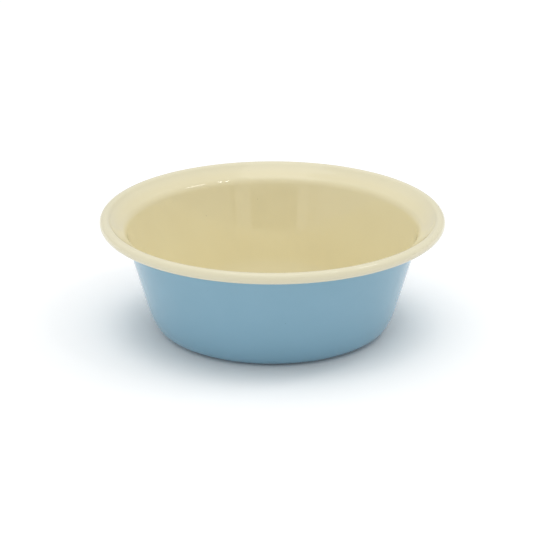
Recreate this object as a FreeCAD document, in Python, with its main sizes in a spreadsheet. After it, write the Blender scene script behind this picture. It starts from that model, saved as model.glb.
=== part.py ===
"""An enamelled steel basin bowl: one pressed sheet with a rolled rim, under three fired coats of enamel.

The sheet and its coats are strips of even thickness that follow the same path: from the bowl's axis out along
the base, up the wall, over the flange and round the roll. Their bends share centres. A face is named by its
depth, which is how far it lies below the cream face: the inside of the bowl and the outside of the roll.

Millimetres. +Z up, with the origin on the axis, at the height of the surface that the bowl stands on.
"""
import FreeCAD, Part
import os
from math import acos, asin, atan2, cos, hypot, pi, radians, sin, sqrt

import Sketcher

# The driving dimensions: lengths in mm, angles in degrees. Outside sizes are taken over the enamel.
DIMENSIONS = {
    "rim_diameter": 220.0,       # across the rolled rim
    "bowl_height": 75.0,         # standing surface to the crest of the roll
    "roll_diameter": 7.0,        # section of the rolled rim
    "roll_hang": 2.8,            # centre of the roll below the line of the flange's cream face
    "mouth_gap": 0.45,           # free edge of the roll to the underside of the flange
    "valley_radius": 2.5,        # bend between flange and roll, on the cream face
    "flange_flat": 8.0,          # straight slope of the flange, between its two bends
    "flange_slope": 32.0,        # flange against the horizontal
    "fold_radius": 8.0,          # bend between wall and flange, on the cream face
    "belly_radius": 55.0,        # gentle bend at the foot of the wall, on the blue face
    "belly_turn": 12.0,          # what that bend turns
    "corner_radius": 12.0,       # bend between base and wall, on the blue face
    "base_diameter": 131.0,      # where that bend leaves the ring that the bowl stands on
    "ring_width": 7.5,           # flat ring that the bowl stands on
    "panel_lift": 1.2,           # underside of the base panel above the standing surface
    "ramp_radius": 15.0,         # the two bends that lift the panel, on the blue face
    "sheet_thickness": 0.6,      # the steel
    "ground_thickness": 0.12,    # dark first coat, on both sides of the steel
    "cover_thickness": 0.22,     # cream coat, and blue coat
}

# What lies above each face, from the cream face down.
CREAM_FACE = ()
GROUND_INSIDE = ("cover",)
STEEL_INSIDE = ("cover", "ground")
STEEL_OUTSIDE = ("cover", "ground", "sheet")
GROUND_OUTSIDE = ("cover", "ground", "sheet", "ground")
BLUE_FACE = ("cover", "ground", "sheet", "ground", "cover")

START, END, CENTRE = range(1, 4)           # how a sketch numbers the points of a line or arc
ORIGIN, UPRIGHT_AXIS = range(-1, -3, -1)   # and its own references


def thickness(layers):
    return sum(DIMENSIONS[f"{layer}_thickness"] for layer in layers)


def thickness_in_words(layers):
    """The same thickness as an expression in the spreadsheet's cells."""
    return "(0" + "".join(f" + dims.{layer}_thickness" for layer in layers) + ")"


WALL = thickness_in_words(BLUE_FACE)
EDGE_ANGLE = (
    f"180 - asin(2 * (dims.roll_hang - {WALL} - dims.mouth_gap) / dims.roll_diameter) / 1 deg"
    " + asin(2 * dims.ground_thickness / dims.roll_diameter) / 1 deg + dims.flange_slope"
)


def point(x, y):
    return FreeCAD.Vector(x, y, 0)


def towards(angle):
    """A unit vector in the section, at an angle in radians."""
    return point(cos(angle), sin(angle))


def section_places():
    """Where the bends' centres lie in the section, and the directions square to its straights.

    x is the distance from the bowl's axis and y is the height. The sketches are drawn from these places, and
    their constraints then keep the same geometry.
    """
    size = DIMENSIONS
    at = {}

    # The flange hangs from the roll, which ends the rim outside and above.
    roll = size["roll_diameter"] / 2
    valley = size["valley_radius"]
    along = towards(radians(size["flange_slope"]))
    at["under_flange"] = towards(radians(size["flange_slope"]) - pi / 2)
    at["roll"] = point(size["rim_diameter"] / 2 - roll, size["bowl_height"] - roll)
    rise = size["roll_hang"] + valley
    at["valley"] = at["roll"] - at["under_flange"] * rise - along * sqrt((roll + valley) ** 2 - rise ** 2)
    drop = valley + size["fold_radius"]
    at["fold"] = at["valley"] + at["under_flange"] * drop - along * size["flange_flat"]

    # The free edge's cream corner stops one mouth gap short of the flange's blue face.
    short = (size["roll_hang"] - thickness(BLUE_FACE) - size["mouth_gap"]) / roll
    edge = pi - asin(short) + asin(size["ground_thickness"] / roll) + radians(size["flange_slope"])
    at["out_at_edge"] = towards(edge)
    at["on_from_edge"] = towards(edge - pi / 2)

    # Two equal bends lift the base panel off the standing surface.
    base = size["base_diameter"] / 2
    ramp = size["ramp_radius"]
    turn = acos(1 - size["panel_lift"] / (2 * ramp))
    at["ring"] = point(base - size["ring_width"], ramp)
    at["panel"] = at["ring"] + point(-2 * ramp * sin(turn), size["panel_lift"] - 2 * ramp)
    at["out_of_ramp"] = towards(pi / 2 - turn)

    # The wall touches the fold with its cream face and the belly bend with its blue face.
    at["corner"] = point(base, size["corner_radius"])
    belly_turn = radians(size["belly_turn"])
    extra = size["belly_radius"] - size["corner_radius"]
    apart = size["fold_radius"] + size["belly_radius"] - thickness(BLUE_FACE) - extra * cos(belly_turn)
    span = at["fold"] - at["corner"]
    lean = atan2(span.y, span.x) + asin(apart / hypot(span.x, span.y))
    at["out_of_wall"] = towards(lean - pi / 2)
    at["out_of_foot"] = towards(lean - belly_turn - pi / 2)
    at["belly"] = at["corner"] - at["out_of_foot"] * extra
    return at


AT = section_places()


def measured(sketch, kind, where):
    """What a dimension of this kind measures in the sketch as drawn."""
    drawn = sketch.Geometry[where[-1]]
    if kind == "Radius":
        return drawn.Radius
    if kind == "Angle" and isinstance(drawn, Part.ArcOfCircle):
        return drawn.LastParameter - drawn.FirstParameter
    if kind == "Angle":
        along = drawn.EndPoint - drawn.StartPoint
        return atan2(along.y, along.x)
    if kind == "Distance" and len(where) == 1:
        return drawn.length()
    if kind == "Distance":
        along = drawn.EndPoint - drawn.StartPoint
        return sketch.getPoint(*where[:2]).distanceToLine(drawn.StartPoint, along)
    place = sketch.getPoint(*where[2:])
    return place.x if kind == "DistanceX" else place.y


def drive(sketch, expression, kind, *where):
    """Add a dimension as drawn, and let the spreadsheet drive it."""
    number = sketch.addConstraint(Sketcher.Constraint(kind, *where, measured(sketch, kind, where)))
    sketch.setExpression(f"Constraints[{number}]", expression)


def hold(sketch, kind, *where):
    """Add a constraint that has no value."""
    sketch.addConstraint(Sketcher.Constraint(kind, *where))


class Face:
    """One face of a strip in a sketch: lines and tangent arcs, from the bowl's axis to the roll's free edge."""

    def __init__(self, sketch, layers, overrun):
        self.sketch = sketch
        self.depth = thickness(layers)
        self.depth_in_words = thickness_in_words(layers)
        self.height = thickness(BLUE_FACE) - self.depth
        self.height_in_words = f"({WALL} - {self.depth_in_words})"
        self.path = []              # each line or arc: its number, inner end and outer end
        self.draw_base()
        self.draw_wall()
        self.draw_rim(overrun)

    def line(self, start, end):
        number = self.sketch.addGeometry(Part.LineSegment(start, end))
        self.join(number, START, END)
        return number

    def bend(self, centre, start, end, radius_in_words, clockwise=False):
        """An arc from start to end. Arcs are stored anticlockwise, so a clockwise one has its ends swapped."""
        first, last = (end, start) if clockwise else (start, end)
        angles = [atan2(p.y - centre.y, p.x - centre.x) for p in (first, last)]
        if angles[1] < angles[0]:
            angles[1] += 2 * pi
        circle = Part.Circle(centre, FreeCAD.Vector(0, 0, 1), (start - centre).Length)
        number = self.sketch.addGeometry(Part.ArcOfCircle(circle, *angles))
        self.join(number, *((END, START) if clockwise else (START, END)))
        drive(self.sketch, radius_in_words, "Radius", number)
        return number

    def join(self, number, inner, outer):
        """Make a new line or arc carry on smoothly from the one before it."""
        if self.path:
            before, _, end = self.path[-1]
            hold(self.sketch, "Tangent", before, end, number, inner)
        self.path.append((number, inner, outer))

    def draw_base(self):
        """The lifted panel, the two bends of its ramp, and the ring that the bowl stands on."""
        sketch = self.sketch
        ramp = DIMENSIONS["ramp_radius"]
        panel_end = AT["panel"] + point(0, ramp + self.height)
        ramp_middle = AT["panel"] + AT["out_of_ramp"] * (ramp + self.height)
        ring_start = AT["ring"] - point(0, ramp - self.height)
        self.ring_end = point(AT["corner"].x, self.height)
        panel = self.line(point(0, panel_end.y), panel_end)
        self.bend(AT["panel"], panel_end, ramp_middle, f"dims.ramp_radius + {self.height_in_words}", True)
        lower = self.bend(AT["ring"], ramp_middle, ring_start, f"dims.ramp_radius - {self.height_in_words}")
        ring = self.line(ring_start, self.ring_end)
        hold(sketch, "PointOnObject", panel, START, UPRIGHT_AXIS)
        hold(sketch, "Horizontal", panel)
        hold(sketch, "Horizontal", ring)
        drive(sketch, f"dims.panel_lift + {self.height_in_words}", "DistanceY", ORIGIN, START, panel, START)
        drive(sketch, "dims.base_diameter / 2 - dims.ring_width", "DistanceX", ORIGIN, START, lower, CENTRE)

    def draw_wall(self):
        """The corner and belly bends, and the straight wall."""
        sketch = self.sketch
        corner_end = AT["corner"] + AT["out_of_foot"] * (DIMENSIONS["corner_radius"] - self.height)
        wall_start = AT["belly"] + AT["out_of_wall"] * (DIMENSIONS["belly_radius"] - self.height)
        self.wall_end = AT["fold"] - AT["out_of_wall"] * (DIMENSIONS["fold_radius"] - self.depth)
        corner = self.bend(
            AT["corner"], self.ring_end, corner_end, f"dims.corner_radius - {self.height_in_words}"
        )
        belly = self.bend(
            AT["belly"], corner_end, wall_start, f"dims.belly_radius - {self.height_in_words}"
        )
        self.line(wall_start, self.wall_end)
        drive(sketch, "dims.base_diameter / 2", "DistanceX", ORIGIN, START, corner, CENTRE)
        drive(sketch, "dims.corner_radius", "DistanceY", ORIGIN, START, corner, CENTRE)
        drive(sketch, "dims.belly_turn", "Angle", belly)

    def draw_rim(self, overrun):
        """The fold, the flange, the valley beside the roll, and the roll round to its free edge."""
        sketch = self.sketch
        radius = DIMENSIONS["roll_diameter"] / 2 - self.depth
        beside = (AT["valley"] - AT["roll"]).normalize()
        flange_start = AT["fold"] - AT["under_flange"] * (DIMENSIONS["fold_radius"] - self.depth)
        flange_end = AT["valley"] + AT["under_flange"] * (DIMENSIONS["valley_radius"] + self.depth)
        roll_start = AT["roll"] + beside * radius
        roll_end = (
            AT["roll"] + AT["on_from_edge"] * overrun + AT["out_at_edge"] * sqrt(radius ** 2 - overrun ** 2)
        )
        self.bend(AT["fold"], self.wall_end, flange_start, f"dims.fold_radius - {self.depth_in_words}", True)
        self.flange = self.line(flange_start, flange_end)
        self.valley = self.bend(
            AT["valley"], flange_end, roll_start, f"dims.valley_radius + {self.depth_in_words}"
        )
        self.roll = self.bend(
            AT["roll"], roll_start, roll_end, f"dims.roll_diameter / 2 - {self.depth_in_words}", True
        )
        drive(sketch, "dims.flange_slope", "Angle", self.flange)
        drive(sketch, "dims.flange_flat", "Distance", self.flange)
        drive(
            sketch, f"dims.roll_hang - {self.depth_in_words}", "Distance", self.roll, CENTRE, self.flange
        )
        rim = "(dims.rim_diameter - dims.roll_diameter) / 2"
        crest = "dims.bowl_height - dims.roll_diameter / 2"
        drive(sketch, rim, "DistanceX", ORIGIN, START, self.roll, CENTRE)
        drive(sketch, crest, "DistanceY", ORIGIN, START, self.roll, CENTRE)


def cap(sketch, start, end):
    """A straight line from one drawn end to another."""
    number = sketch.addGeometry(Part.LineSegment(sketch.getPoint(*start), sketch.getPoint(*end)))
    hold(sketch, "Coincident", number, START, *start)
    hold(sketch, "Coincident", number, END, *end)
    return number


def strip_sketch(body, name, upper_layers, lower_layers, overrun="", stop_at_mouth=False):
    """The section of one layer, between two faces.

    A coat that wraps the steel's free edge overruns it by the thickness of the layer named. A coat that stops
    at the mouth of the roll keeps the roll only as construction lines.
    """
    sketch = body.newObject("Sketcher::SketchObject", name)
    upright = next(plane for plane in body.Origin.OriginFeatures if plane.Role == "XZ_Plane")
    sketch.AttachmentSupport = [(upright, "")]
    sketch.MapMode = "FlatFace"
    past_edge = thickness([overrun]) if overrun else 0.0
    upper, lower = (Face(sketch, layers, past_edge) for layers in (upper_layers, lower_layers))
    cap(sketch, (lower.path[0][0], START), (upper.path[0][0], START))
    edge = cap(sketch, (lower.roll, START), (upper.roll, START))
    drive(sketch, EDGE_ANGLE, "Angle", edge)
    if overrun:
        drive(sketch, f"dims.{overrun}_thickness", "Distance", upper.roll, CENTRE, edge)
    else:
        hold(sketch, "PointOnObject", upper.roll, CENTRE, edge)
    if stop_at_mouth:
        for number in (upper.valley, upper.roll, lower.valley, lower.roll, edge):
            sketch.setConstruction(number, True)
        cap(sketch, (lower.flange, END), (upper.flange, END))
    return sketch


def turn_round(body, kind, sketch):
    """Revolve a section once round the bowl's axis, as added or cut material."""
    feature = body.newObject(f"PartDesign::{kind}", f"{sketch.Name}_round")
    feature.Profile = sketch
    feature.ReferenceAxis = (sketch, ["V_Axis"])
    feature.Angle = 360
    return feature


def new_body(document, name):
    body = document.addObject("PartDesign::Body", name)
    body.Label = name
    body.Placement = FreeCAD.Placement()
    return body


def steel_bowl(document):
    """The pressed sheet, with its edge rolled over into a hollow rim."""
    body = new_body(document, "steel_bowl")
    sheet = strip_sketch(body, "sheet_section", STEEL_INSIDE, STEEL_OUTSIDE)
    turn_round(body, "Revolution", sheet)
    return body


def ground_coat(document):
    """The dark coat on both sides of the steel and round its free edge: a thicker bowl, less the steel."""
    body = new_body(document, "ground_coat")
    whole = strip_sketch(body, "ground_section", GROUND_INSIDE, GROUND_OUTSIDE, overrun="ground")
    turn_round(body, "Revolution", whole)
    sheet = strip_sketch(body, "sheet_space", STEEL_INSIDE, STEEL_OUTSIDE)
    turn_round(body, "Groove", sheet)
    return body


def cream_cover_coat(document):
    """The cream coat on the inside, the flange and the outside of the roll, as far as the free edge."""
    body = new_body(document, "cream_cover_coat")
    coat = strip_sketch(body, "cream_section", CREAM_FACE, GROUND_INSIDE, overrun="ground")
    turn_round(body, "Revolution", coat)
    return body


def blue_cover_coat(document):
    """The blue coat on the underside and the outer wall, as far as the mouth of the roll."""
    body = new_body(document, "blue_cover_coat")
    coat = strip_sketch(body, "blue_section", GROUND_OUTSIDE, BLUE_FACE, stop_at_mouth=True)
    turn_round(body, "Revolution", coat)
    return body


def fill_sheet(document):
    """The spreadsheet that holds the driving dimensions, one named cell each."""
    sheet = document.addObject("Spreadsheet::Sheet", "dims")
    for row, (name, value) in enumerate(DIMENSIONS.items(), start=1):
        sheet.set(f"A{row}", name)
        sheet.set(f"B{row}", str(value))
        sheet.setAlias(f"B{row}", name)
    document.recompute()


def build():
    document = FreeCAD.newDocument("enamel_basin_bowl")
    fill_sheet(document)
    makers = (steel_bowl, ground_coat, cream_cover_coat, blue_cover_coat)
    bodies = [make(document) for make in makers]
    document.recompute()
    for thing in document.Objects:
        if {"Invalid", "Error"} & set(thing.State):
            raise RuntimeError(f"{thing.Name} failed: {thing.State}")
    for body in bodies:
        if body.Shape.isNull() or not body.Shape.isValid() or len(body.Shape.Solids) != 1:
            raise RuntimeError(f"{body.Label} is not one valid solid")
    os.makedirs("parts", exist_ok=True)
    for body in bodies:
        body.Shape.exportStep(f"parts/{body.Label}.step")
        print(f"{body.Label}: {body.Shape.Volume:.1f} mm3, {len(body.Shape.Faces)} faces")


build()
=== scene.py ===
"""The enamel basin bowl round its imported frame: fired coats, studio floor, soft light and camera."""
from math import acos, asin, atan2, cos, hypot, pi, radians, sin, sqrt

import bpy
import numpy as np
from mathutils import Matrix, Vector, noise


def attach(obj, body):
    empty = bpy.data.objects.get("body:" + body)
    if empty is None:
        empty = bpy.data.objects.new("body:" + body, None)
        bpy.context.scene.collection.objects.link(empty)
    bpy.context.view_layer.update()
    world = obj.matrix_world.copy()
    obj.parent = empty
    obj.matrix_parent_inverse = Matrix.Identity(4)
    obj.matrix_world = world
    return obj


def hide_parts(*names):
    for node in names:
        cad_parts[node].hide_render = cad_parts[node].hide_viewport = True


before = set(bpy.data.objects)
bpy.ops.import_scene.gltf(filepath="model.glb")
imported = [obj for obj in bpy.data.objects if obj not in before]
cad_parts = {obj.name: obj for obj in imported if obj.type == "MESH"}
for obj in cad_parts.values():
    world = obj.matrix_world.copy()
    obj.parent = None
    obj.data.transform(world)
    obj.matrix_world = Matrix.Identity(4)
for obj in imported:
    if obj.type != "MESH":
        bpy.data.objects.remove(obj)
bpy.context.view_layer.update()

MM = 0.001

# The bowl's section, in mm and degrees, as in the construction. Outside sizes are taken over the enamel.
RIM_DIAMETER = 220.0
BOWL_HEIGHT = 75.0
ROLL_DIAMETER = 7.0
ROLL_HANG = 2.8
MOUTH_GAP = 0.45
VALLEY_RADIUS = 2.5
FLANGE_FLAT = 8.0
FLANGE_SLOPE = 32.0
FOLD_RADIUS = 8.0
BELLY_RADIUS = 55.0
BELLY_TURN = 12.0
CORNER_RADIUS = 12.0
BASE_DIAMETER = 131.0
RING_WIDTH = 7.5
PANEL_LIFT = 1.2
RAMP_RADIUS = 15.0
SHEET = 0.6
GROUND = 0.12
COVER = 0.22
WALL = SHEET + 2 * GROUND + 2 * COVER

# The glass on it, in mm where a line doesn't say otherwise.
AROUND = 256                # steps round the axis
NOSE_STEPS = 6              # and round a coat's rounded end
POOL_RADIUS = 30.0          # the valley's roundness where glass pooled in it
POOL_LEAST = 0.56           # how full the pool is at its emptiest, as a share
POOL_MOST = 1.0             # and at its fullest
POOL_TURN = 0.9             # where it is fullest, in radians round from +X
POOL_SPAN = 10.0            # no pool further than this from the roll's mouth, along the section
RING_GAP = 3.0              # from one of the faint rings in the glaze to the next
RING_TURN = 1.6             # how often the rings change on their way round
RING_HEIGHT = 0.012
WAVES = ((0.05, 22.0), (0.02, 8.0))         # height and width of the coats' unevenness
CALM_CENTRE = 10.0          # the unevenness fades out this near to the axis
CALM_EDGE = 1.5             # and this near to a coat's end
SEED_APART = 17.3           # how far apart the unevenness's seeds lie, in the noise's own cells
RING_SEED_APART = 9.1       # and those of the rings


# ---------------------------------------------------------------- the section that every coat follows


def towards(angle):
    return np.array([cos(angle), sin(angle)])


def bend_points(centre, radius, start, turn, step):
    """Points on an arc from a start angle, and the directions out of its centre."""
    count = max(2, int(abs(turn) * max(radius, 1.0) / step) + 1)
    angles = start + turn * np.arange(1, count + 1) / count
    out = np.stack([np.cos(angles), np.sin(angles)], axis=1)
    return centre + out * radius, out


def straight_points(start, end, step):
    count = max(2, int(np.linalg.norm(end - start) / step))
    share = np.arange(1, count + 1)[:, None] / count
    return start + (end - start) * share


def section():
    """The cream face from the axis to the steel's free edge: points (x out, y up) in mm, the directions
    out of the face, and the index of the last point before the roll's mouth."""
    roll = ROLL_DIAMETER / 2
    slope = radians(FLANGE_SLOPE)
    under = towards(slope - pi / 2)
    roll_at = np.array([RIM_DIAMETER / 2 - roll, BOWL_HEIGHT - roll])
    rise = ROLL_HANG + VALLEY_RADIUS
    valley_at = roll_at - under * rise - towards(slope) * sqrt((roll + VALLEY_RADIUS) ** 2 - rise ** 2)
    fold_at = valley_at + under * (VALLEY_RADIUS + FOLD_RADIUS) - towards(slope) * FLANGE_FLAT

    base = BASE_DIAMETER / 2
    ramp_turn = acos(1 - PANEL_LIFT / (2 * RAMP_RADIUS))
    ring_at = np.array([base - RING_WIDTH, RAMP_RADIUS])
    panel_at = ring_at + np.array([-2 * RAMP_RADIUS * sin(ramp_turn), PANEL_LIFT - 2 * RAMP_RADIUS])

    corner_at = np.array([base, CORNER_RADIUS])
    belly_turn = radians(BELLY_TURN)
    extra = BELLY_RADIUS - CORNER_RADIUS
    apart = FOLD_RADIUS + BELLY_RADIUS - WALL - extra * cos(belly_turn)
    span = fold_at - corner_at
    lean = atan2(span[1], span[0]) + asin(apart / hypot(*span))
    belly_at = corner_at - towards(lean - belly_turn - pi / 2) * extra

    short = (ROLL_HANG - WALL - MOUTH_GAP) / roll
    edge = pi - asin(short) + asin(GROUND / roll) + slope
    aside = valley_at - roll_at
    roll_start = atan2(aside[1], aside[0])
    roll_turn = (roll_start - edge) % (2 * pi)

    points, out = [np.array([[0.0, PANEL_LIFT + WALL]])], [np.array([[0.0, 1.0]])]

    def straight(end, normal, step=1.6):
        new = straight_points(points[-1][-1], np.array(end), step)
        points.append(new)
        out.append(np.repeat([normal], len(new), axis=0))

    def bend(centre, radius, start, turn, hollow, step=0.8):
        """A hollow bend has its centre on the cream side."""
        new, normals = bend_points(centre, radius, start, turn, step)
        points.append(new)
        out.append(-normals if hollow else normals)

    # A call may end with the step between its points, which is shorter on a tighter bend.
    up = np.array([0.0, 1.0])
    straight((panel_at[0], PANEL_LIFT + WALL), up, 3.0)
    bend(panel_at, RAMP_RADIUS + WALL, pi / 2, -ramp_turn, False)
    bend(ring_at, RAMP_RADIUS - WALL, -pi / 2 - ramp_turn, ramp_turn, True)
    straight((base, WALL), up)
    bend(corner_at, CORNER_RADIUS - WALL, -pi / 2, lean - belly_turn, True)
    bend(belly_at, BELLY_RADIUS - WALL, lean - belly_turn - pi / 2, belly_turn, True)
    into = towards(lean + pi / 2)
    straight(fold_at + into * FOLD_RADIUS, into)
    bend(fold_at, FOLD_RADIUS, lean + pi / 2, slope - lean, False, 0.4)
    flange_end = valley_at + under * VALLEY_RADIUS
    straight(flange_end, -under, 1.0)
    mouth = sum(len(p) for p in points) - 1
    bend(valley_at, VALLEY_RADIUS, slope - pi / 2, (roll_start + pi - slope + pi / 2) % (2 * pi), True, 0.15)
    bend(roll_at, roll, roll_start, -roll_turn, False, 0.3)
    return np.concatenate(points), np.concatenate(out), mouth


PATH, OUT, MOUTH = section()
LENGTH = np.concatenate([[0.0], np.cumsum(np.linalg.norm(np.diff(PATH, axis=0), axis=1))])


# ---------------------------------------------------------------- turning strips into coats


def ripple(seed, width, x, y, z):
    """Smooth noise between about -1 and 1 with lumps of the given width, in mm."""
    where = np.stack([x, y, z], axis=-1).reshape(-1, 3) / width + seed * SEED_APART
    values = [noise.noise(Vector(p)) for p in where]
    return np.array(values).reshape(x.shape)


def rings(seed, x, y, along):
    """Smooth noise between about -1 and 1 that runs in long rings round the axis."""
    turn = np.arctan2(y, x)
    level = along / RING_GAP + seed * RING_SEED_APART
    where = np.stack([RING_TURN * np.cos(turn), RING_TURN * np.sin(turn), level], axis=-1)
    values = [noise.noise(Vector(p)) for p in where.reshape(-1, 3)]
    return np.array(values).reshape(x.shape)


def pooled():
    """How far the fired glass fills the valley beside the roll, in mm, at each point of the section.

    It lies as a ball of POOL_RADIUS would that touches both the flange and the roll.
    """
    roll = ROLL_DIAMETER / 2
    slope = radians(FLANGE_SLOPE)
    up = towards(slope + pi / 2)
    from_roll = PATH - np.array([RIM_DIAMETER / 2 - roll, BOWL_HEIGHT - roll])
    centre_up = ROLL_HANG + POOL_RADIUS
    reach = sqrt((roll + POOL_RADIUS) ** 2 - centre_up ** 2)
    across = from_roll @ towards(slope) + reach
    depth = centre_up - np.sqrt((POOL_RADIUS ** 2 - across ** 2).clip(0)) - from_roll @ up
    touches = reach * POOL_RADIUS / (roll + POOL_RADIUS)
    near = (across > 0) & (across < touches) & (abs(LENGTH - LENGTH[MOUTH]) < POOL_SPAN)
    fill = depth / np.maximum(OUT @ up, 0.5)              # measured along each point's own direction
    return np.where(near, fill, 0.0).clip(0)


def turned(profile, lift):
    """Turn a closed profile once round the axis. Its first and last points lie on the axis.

    lift gives how far each point moves along its own direction, from the place of every point.
    """
    points, directions = profile
    angles = 2 * pi * np.arange(AROUND) / AROUND
    cosines, sines = np.cos(angles)[:, None], np.sin(angles)[:, None]
    radius, height = points[1:-1, 0][None, :], points[1:-1, 1][None, :]
    x, y, z = cosines * radius, sines * radius, np.repeat(height, AROUND, axis=0)
    shift = lift(x, y, z)
    x = x + cosines * directions[1:-1, 0] * shift
    y = y + sines * directions[1:-1, 0] * shift
    z = (z + directions[1:-1, 1] * shift).clip(0)         # nothing sinks into the table
    ring = np.stack([x, y, z], axis=-1).reshape(-1, 3)
    poles = np.array([[0, 0, points[0, 1]], [0, 0, points[-1, 1]]])
    return np.concatenate([ring, poles]) * MM


def coat_mesh(name, vertices, inner):
    """Faces between neighbouring turns, with a fan at each pole.

    inner is how many points a turn has between the poles.
    """
    first, last = AROUND * inner, AROUND * inner + 1
    faces = []
    for turn in range(AROUND):
        here, there = turn * inner, (turn + 1) % AROUND * inner
        faces.append((first, here, there))
        faces.append((last, there + inner - 1, here + inner - 1))
        for step in range(inner - 1):
            faces.append((here + step, here + step + 1, there + step + 1, there + step))
    mesh = bpy.data.meshes.new(name)
    mesh.from_pydata(vertices.tolist(), [], faces)
    mesh.validate()
    mesh.shade_smooth()
    return mesh


def coat(name, upper, lower, last):
    """A coat between two depths, out to one point of the section, with a rounded end.

    Its outer face is uneven, and glass pools in the valley of the coat that has no depth over it.
    """
    thick = lower - upper
    top = PATH[:last + 1] - OUT[:last + 1] * upper
    bottom = PATH[:last + 1] - OUT[:last + 1] * lower
    way = np.array([OUT[last][1], -OUT[last][0]])         # on along the strip past its end
    turn = np.linspace(0, pi, NOSE_STEPS + 1)[1:-1, None]
    middle = (top[-1] + bottom[-1]) / 2
    nose_out = OUT[last] * np.cos(turn) + way * np.sin(turn)
    nose = middle + nose_out * thick / 2
    points = np.concatenate([top, nose, bottom[::-1]])
    directions = np.concatenate([OUT[:last + 1], nose_out, -OUT[last::-1]])
    visible = np.zeros(len(points))
    outer = slice(0, last + 1) if upper == 0 else slice(len(points) - last - 1, len(points))
    visible[outer] = 1.0
    to_end = LENGTH[last] - LENGTH[:last + 1]
    ends = np.minimum(LENGTH[:last + 1] / CALM_CENTRE, to_end / CALM_EDGE).clip(0, 1)
    visible[outer] *= ends if upper == 0 else ends[::-1]

    along = np.concatenate([LENGTH[:last + 1], np.full(len(nose), LENGTH[last]), LENGTH[last::-1]])
    deeper = np.zeros(len(points))
    if upper == 0:
        deeper[:last + 1] = pooled()[:last + 1]

    def lift(x, y, z):
        fullness = (POOL_MOST + POOL_LEAST) / 2
        fullness += (POOL_MOST - POOL_LEAST) / 2 * np.cos(np.arctan2(y, x) - POOL_TURN)
        uneven = RING_HEIGHT * rings(1, x, y, np.repeat([along[1:-1]], AROUND, axis=0))
        for seed, (height, width) in enumerate(WAVES, start=3):
            uneven += height * ripple(seed, width, x, y, z)
        return deeper[1:-1] * fullness + uneven * visible[1:-1]

    vertices = turned((points, directions), lift)
    thing = bpy.data.objects.new(name, coat_mesh(name, vertices, len(points) - 2))
    bpy.context.scene.collection.objects.link(thing)
    return thing


# ---------------------------------------------------------------- materials, in metres from here on


class Graph:
    """Short ways to add and link the nodes of one tree."""

    def __init__(self, tree):
        self.tree = tree

    def add(self, kind, inputs=(), **settings):
        node = self.tree.nodes.new(kind)
        for key, value in settings.items():
            setattr(node, key, value)
        for key, value in dict(inputs).items():
            if isinstance(value, bpy.types.NodeSocket):
                self.tree.links.new(value, node.inputs[key])
            else:
                node.inputs[key].default_value = value
        return node

    def math(self, operation, *values):
        return self.add("ShaderNodeMath", enumerate(values), operation=operation).outputs[0]

    def ramp(self, value, start, end, low, high):
        """Low until start and high after end, with a smooth rise between."""
        inputs = {"Value": value, "From Min": start, "From Max": end, "To Min": low, "To Max": high}
        return self.add("ShaderNodeMapRange", inputs, interpolation_type="SMOOTHSTEP").outputs["Result"]

    def band(self, value, low, high, soft):
        """1 between two limits and 0 outside, with edges this soft."""
        rise = self.ramp(value, low - soft, low + soft, 0.0, 1.0)
        fall = self.ramp(value, high - soft, high + soft, 1.0, 0.0)
        return self.math("MULTIPLY", rise, fall)


class Shader(Graph):
    """A node material with a principled shader."""

    def __init__(self, name):
        self.material = bpy.data.materials.new(name)
        self.material.use_nodes = True
        super().__init__(self.material.node_tree)
        self.base = self.tree.nodes["Principled BSDF"]
        self.place = self.add("ShaderNodeTexCoord").outputs["Object"]

    def set(self, key, value):
        if isinstance(value, bpy.types.NodeSocket):
            self.tree.links.new(value, self.base.inputs[key])
        else:
            self.base.inputs[key].default_value = value

    def noise(self, size, detail=2.0, roughness=0.5):
        """Noise whose lumps are about this many metres wide."""
        inputs = {"Vector": self.place, "Scale": 1 / size, "Detail": detail, "Roughness": roughness}
        return self.add("ShaderNodeTexNoise", inputs).outputs["Fac"]

    def between(self, value, low, high):
        """Noise spread out to run from about low to high."""
        inputs = {"Value": value, "From Min": 0.3, "From Max": 0.7, "To Min": low, "To Max": high}
        return self.add("ShaderNodeMapRange", inputs).outputs["Result"]

    def height(self):
        """How far above the table, in metres."""
        return self.add("ShaderNodeSeparateXYZ", {0: self.place}).outputs["Z"]

    def from_axis(self):
        """How far out from the bowl's axis, in metres."""
        inputs = {0: self.place, 1: (1.0, 1.0, 0.0)}
        flat = self.add("ShaderNodeVectorMath", inputs, operation="MULTIPLY").outputs[0]
        return self.add("ShaderNodeVectorMath", {0: flat}, operation="LENGTH").outputs["Value"]

    def blend(self, factor, first, second):
        """A mix of two colours, which are the node's inputs 6 and 7 and its output 2."""
        mix = self.add("ShaderNodeMix", data_type="RGBA")
        self.tree.links.new(factor, mix.inputs[0])
        for slot, colour in ((6, first), (7, second)):
            if isinstance(colour, bpy.types.NodeSocket):
                self.tree.links.new(colour, mix.inputs[slot])
            else:
                mix.inputs[slot].default_value = (*colour, 1.0)
        return mix.outputs[2]

    def specks(self, cell, radius):
        """1 inside sparse round specks, 0 elsewhere."""
        inputs = {"Vector": self.place, "Scale": 1 / cell}
        distance = self.add("ShaderNodeTexVoronoi", inputs).outputs["Distance"]
        edge = radius / cell
        inputs = {"Value": distance, "From Min": edge * 0.5, "From Max": edge, "To Min": 1.0, "To Max": 0.0}
        return self.add("ShaderNodeMapRange", inputs).outputs["Result"]

    def bump(self, heights, distance):
        """Chain bump nodes, one for each (height socket, strength)."""
        normal = None
        for height, strength in heights:
            inputs = {"Height": height, "Strength": strength, "Distance": distance}
            if normal:
                inputs["Normal"] = normal
            normal = self.add("ShaderNodeBump", inputs).outputs["Normal"]
        self.set("Normal", normal)


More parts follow.
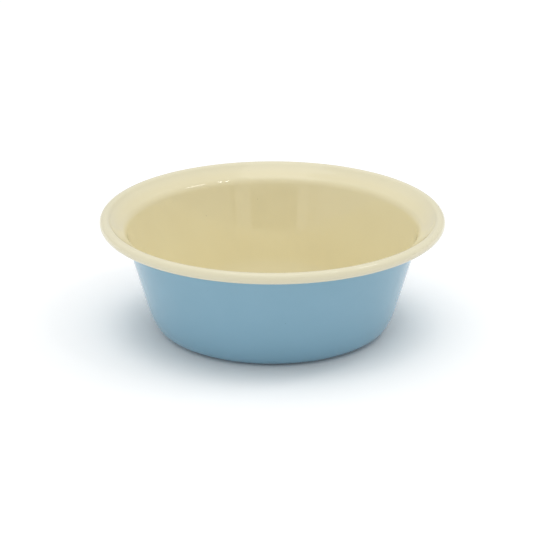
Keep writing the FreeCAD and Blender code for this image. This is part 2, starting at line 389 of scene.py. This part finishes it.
PAINTED_LIGHT_FROM, PAINTED_LIGHT_TO = 0.097, 0.105           # painted light: the cream turns paler between these distances from the axis, where the roll is lit
PAINTED_SHADE_FROM, PAINTED_SHADE_TO = 0.1055, 0.1085         # and painted shade makes it duller between these,
PAINTED_SHADE_BELOW, PAINTED_SHADE_ABOVE = 0.0695, 0.0735     # wholly below the first height and not at all above the second
SPECK_GAP = 0.011
SPECK_RADIUS = 0.00022
CLOUD_WIDTH = 0.035         # of the patches where the colour is deeper
GLOSS_WIDTH = 0.02          # of the patches where the gloss is duller
PEEL_WIDTH = 0.004          # of the orange peel's lumps
PEEL = 0.03                 # and how strong they are
GRAIN_WIDTH = 0.0009        # of the finer lumps on them
GRAIN = 0.005               # and how strong those are
PINHOLE = -0.3              # how strong the dip in each speck is
BUMP_HEIGHT = 0.0004
GLASS_IOR = 1.52


def enamel(name, light, deep, speck, roughness, painted_light=None, painted_shade=None):
    """Fired glass coat: a faint cloudiness of colour, an orange-peel surface, and sparse specks and pinholes.

    The first optional colour is a paler cream towards the bowl's edge, painted light where the roll is lit,
    and the second a duller one, painted shade round the lower side of the roll.
    """
    shader = Shader(name)
    cloud = shader.between(shader.noise(CLOUD_WIDTH, 3.0), 0.0, 1.0)
    colour = shader.blend(cloud, light, deep)
    if painted_light:
        # painted light: the cream turns paler out on the lit roll
        out = shader.from_axis()
        colour = shader.blend(shader.ramp(out, PAINTED_LIGHT_FROM, PAINTED_LIGHT_TO, 0.0, 1.0), colour, painted_light)
        # painted shade: the cream turns duller round the lower side of the roll
        low = shader.ramp(shader.height(), PAINTED_SHADE_BELOW, PAINTED_SHADE_ABOVE, 1.0, 0.0)
        under = shader.math("MULTIPLY", low, shader.ramp(out, PAINTED_SHADE_FROM, PAINTED_SHADE_TO, 0.0, 1.0))
        colour = shader.blend(under, colour, painted_shade)
    spots = shader.specks(SPECK_GAP, SPECK_RADIUS)
    colour = shader.blend(spots, colour, speck)
    shader.set("Base Color", colour)
    shader.set("Roughness", shader.between(shader.noise(GLOSS_WIDTH), roughness - 0.01, roughness + 0.02))
    shader.set("IOR", GLASS_IOR)
    peel = shader.noise(PEEL_WIDTH, 1.0)
    grain = shader.noise(GRAIN_WIDTH, 0.0)
    shader.bump([(peel, PEEL), (grain, GRAIN), (spots, PINHOLE)], BUMP_HEIGHT)
    return shader.material


def bare_steel():
    """Pickled steel under the coats, dull and faintly mottled."""
    shader = Shader("pickled_steel")
    shader.set("Base Color", shader.blend(shader.noise(0.004, 4.0), (0.20, 0.20, 0.21), (0.30, 0.29, 0.28)))
    shader.set("Metallic", 0.9)
    shader.set("Roughness", shader.between(shader.noise(0.001), 0.45, 0.6))
    shader.bump([(shader.noise(0.0006, 2.0), 0.2)], 0.0002)
    return shader.material


def dress(thing, material):
    thing.data.materials.clear()
    thing.data.materials.append(material)


# ---------------------------------------------------------------- the studio


CAMERA_ELEVATION = radians(20.55)
CAMERA_DISTANCE = 1.884
CAMERA_HEIGHT = 0.0372      # the height on the axis that it looks at
CAMERA_ASIDE = -0.001475    # it stands this far to the left of the axis
FOCAL_PIXELS = 2938.0       # the lens's focal length, in pixels of the picture
PICTURE_WIDTH = 540.0       # in the same pixels
SENSOR_WIDTH = 36.0         # in mm
FLOOR_REACH = 12.0          # how far the floor goes each way
GLOW_SHADOW_FROM, GLOW_SHADOW_TO = 0.075, 0.115           # the floor glows though it is no lamp; its glow rises between these distances from the axis, leaving a painted shadow under the bowl,
GLOW_SHADOW_LEAST, GLOW_SHADOW_MOST = 0.02, 0.20          # from the first of these to the second


def camera():
    data = bpy.data.cameras.new("camera")
    data.sensor_fit = "HORIZONTAL"
    data.sensor_width = SENSOR_WIDTH
    data.lens = FOCAL_PIXELS / PICTURE_WIDTH * SENSOR_WIDTH
    data.clip_end = 50.0
    thing = bpy.data.objects.new("camera", data)
    bpy.context.scene.collection.objects.link(thing)
    back = CAMERA_DISTANCE * cos(CAMERA_ELEVATION)
    rise = CAMERA_DISTANCE * sin(CAMERA_ELEVATION)
    thing.location = (CAMERA_ASIDE, -back, CAMERA_HEIGHT + rise)
    thing.rotation_euler = (pi / 2 - CAMERA_ELEVATION, 0, 0)
    bpy.context.scene.camera = thing


def studio_floor():
    """A wide pale floor that glows though it is no lamp. Its glow fades under the bowl as a painted shadow.
    """
    reach = FLOOR_REACH
    mesh = bpy.data.meshes.new("studio_floor")
    corners = [(-reach, -reach, 0), (reach, -reach, 0), (reach, reach, 0), (-reach, reach, 0)]
    mesh.from_pydata(corners, [], [(0, 1, 2, 3)])
    thing = bpy.data.objects.new("studio_floor", mesh)
    bpy.context.scene.collection.objects.link(thing)
    shader = Shader("pale_floor")
    shader.set("Base Color", (0.97, 0.97, 0.97, 1.0))
    shader.set("Roughness", 0.8)
    shader.set("Specular IOR Level", 0.1)
    shader.set("Emission Color", (1.0, 1.0, 1.0, 1.0))
    # painted shadow: the floor's glow falls away under and around the bowl
    glow_with_painted_shadow = shader.ramp(shader.from_axis(), GLOW_SHADOW_FROM, GLOW_SHADOW_TO, GLOW_SHADOW_LEAST, GLOW_SHADOW_MOST)
    shader.set("Emission Strength", glow_with_painted_shadow)
    dress(thing, shader.material)


# The tent's brightness by height, and what hangs in it. Angles are in degrees, and azimuths run from the
# front, where the camera stands, towards the right.
DOWN = -90
TENT = ((8, 0.56), (25, 0.55), (41, 0.65), (60, 1.0), (80, 1.2))
PANELS = (
    # azimuths, heights, added brightness, softness of the edges
    (-21, 18, DOWN, 13, -0.58, 0.6),      # the opening that the camera looks through
    (18, 30, DOWN, 17, 0.20, 0.5),        # the pale flap right of it
    (31, 34, DOWN, 17, -0.35, 0.5),       # a pole
    (-30, -21, DOWN, 17, 0.20, 0.5),      # the left flap
    (-32, -30, DOWN, 17, -0.30, 0.4),     # a pole
    (-37, -34, DOWN, 17, -0.18, 0.4),     # another
    (-52, -38, DOWN, 17, 0.12, 0.8),      # the cloth beside it
    (-95, -15, DOWN, 16, 0.16, 10),       # the left side's low cloth
    (25, 100, DOWN, 32, -0.18, 12),       # the right side, in shade
    (-145, -95, 18, 52, 0.22, 10),        # a bright cloth at the back left
    (72, 140, 28, 52, 0.20, 10),          # another at the back right
    (-40, 40, 50, 70, -0.09, 10),         # the top of the opening
)


def tent():
    """Pale cloth all round and overhead, open at the front."""
    world = bpy.data.worlds.new("tent")
    bpy.context.scene.world = world
    world.use_nodes = True
    graph = Graph(world.node_tree)
    direction = graph.add("ShaderNodeTexCoord").outputs["Generated"]
    axes = graph.add("ShaderNodeSeparateXYZ", {0: direction}).outputs
    front = graph.math("MULTIPLY", axes["Y"], -1.0)
    azimuth = graph.math("DEGREES", graph.math("ARCTAN2", axes["X"], front))
    height = graph.math("DEGREES", graph.math("ARCSINE", axes["Z"]))
    light = TENT[0][1]
    for (low, below), (high, above) in zip(TENT, TENT[1:]):
        light = graph.math("ADD", graph.ramp(height, low, high, 0.0, above - below), light)
    for left, right, bottom, top, brightness, soft in PANELS:
        across = graph.band(azimuth, left, right, soft)
        panel = graph.math("MULTIPLY", across, graph.band(height, bottom, top, soft))
        light = graph.math("MULTIPLY_ADD", panel, brightness, light)
    graph.tree.links.new(light, graph.tree.nodes["Background"].inputs["Strength"])
    graph.tree.nodes["Background"].inputs["Color"].default_value = (1.0, 1.0, 1.0, 1.0)


def lamp(name, start, end, width, brightness):
    """A rectangular lamp that faces the bowl, along a line and this wide.

    Each square metre of it has pi times its brightness in watts.
    """
    start, end = Vector(start), Vector(end)
    data = bpy.data.lights.new(name, "AREA")
    data.shape = "RECTANGLE"
    data.size, data.size_y = (end - start).length, width
    data.energy = brightness * pi * data.size * data.size_y
    thing = bpy.data.objects.new(name, data)
    bpy.context.scene.collection.objects.link(thing)
    thing.location = (start + end) / 2
    away = thing.location - Vector((0, 0, BOWL_HEIGHT * MM))
    across = away.cross(end - start).normalized()
    along = across.cross(away).normalized()
    thing.rotation_euler = Matrix((along, across, away.normalized())).transposed().to_euler()
    thing.visible_camera = False


def studio_light():
    """The tent and its lamps. The strip and the two bulbs show as glints on the back of the fold."""
    tent()
    lamp("overhead_softbox", (-0.52, -0.09, 1.55), (0.26, -0.09, 1.55), 0.88, 0.71)
    lamp("strip", (0.930, 0.139, 1.194), (0.791, -0.086, 1.299), 0.20, 5.6)
    lamp("right_bulb", (0.664, -0.354, 1.317), (0.580, -0.143, 1.416), 0.04, 11.0)
    lamp("left_bulb", (0.582, -0.412, 1.340), (0.507, -0.193, 1.439), 0.04, 14.0)


def colours():
    view = bpy.context.scene.view_settings
    view.view_transform = "Standard"
    view.look = "None"


# ---------------------------------------------------------------- the bowl


CREAM = (0.90, 0.825, 0.553)
CREAM_DEEP = (0.884, 0.804, 0.533)
CREAM_SPECK = (0.25, 0.2, 0.12)
# painted light: the paler cream of the lit roll
CREAM_PAINTED_LIGHT = (0.895, 0.838, 0.605)
# painted shade: the duller cream round the lower side of the roll
CREAM_PAINTED_SHADE = (0.76, 0.705, 0.52)
BLUE = (0.254, 0.455, 0.584)
BLUE_DEEP = (0.242, 0.441, 0.566)
BLUE_SPECK = (0.03, 0.05, 0.08)
DARK = (0.02, 0.02, 0.03)
DARK_DEEP = (0.012, 0.012, 0.02)
DARK_SPECK = (0.0, 0.0, 0.0)

cream = coat("cream_enamel", 0.0, COVER, len(PATH) - 1)
blue = coat("blue_enamel", WALL - COVER, WALL, MOUTH)
dress(cream, enamel("cream_enamel", CREAM, CREAM_DEEP, CREAM_SPECK, 0.04, CREAM_PAINTED_LIGHT, CREAM_PAINTED_SHADE))
dress(blue, enamel("blue_enamel", BLUE, BLUE_DEEP, BLUE_SPECK, 0.05))
dress(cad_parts["ground_coat"], enamel("ground_enamel", DARK, DARK_DEEP, DARK_SPECK, 0.16))
dress(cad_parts["steel_bowl"], bare_steel())
COVERS = ((cream, "cream_cover_coat", "cream_enamel"), (blue, "blue_cover_coat", "blue_enamel"))
for piece, node, slot in COVERS:
    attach(piece, "root")
    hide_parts(node)

studio_floor()
studio_light()
camera()
colours()
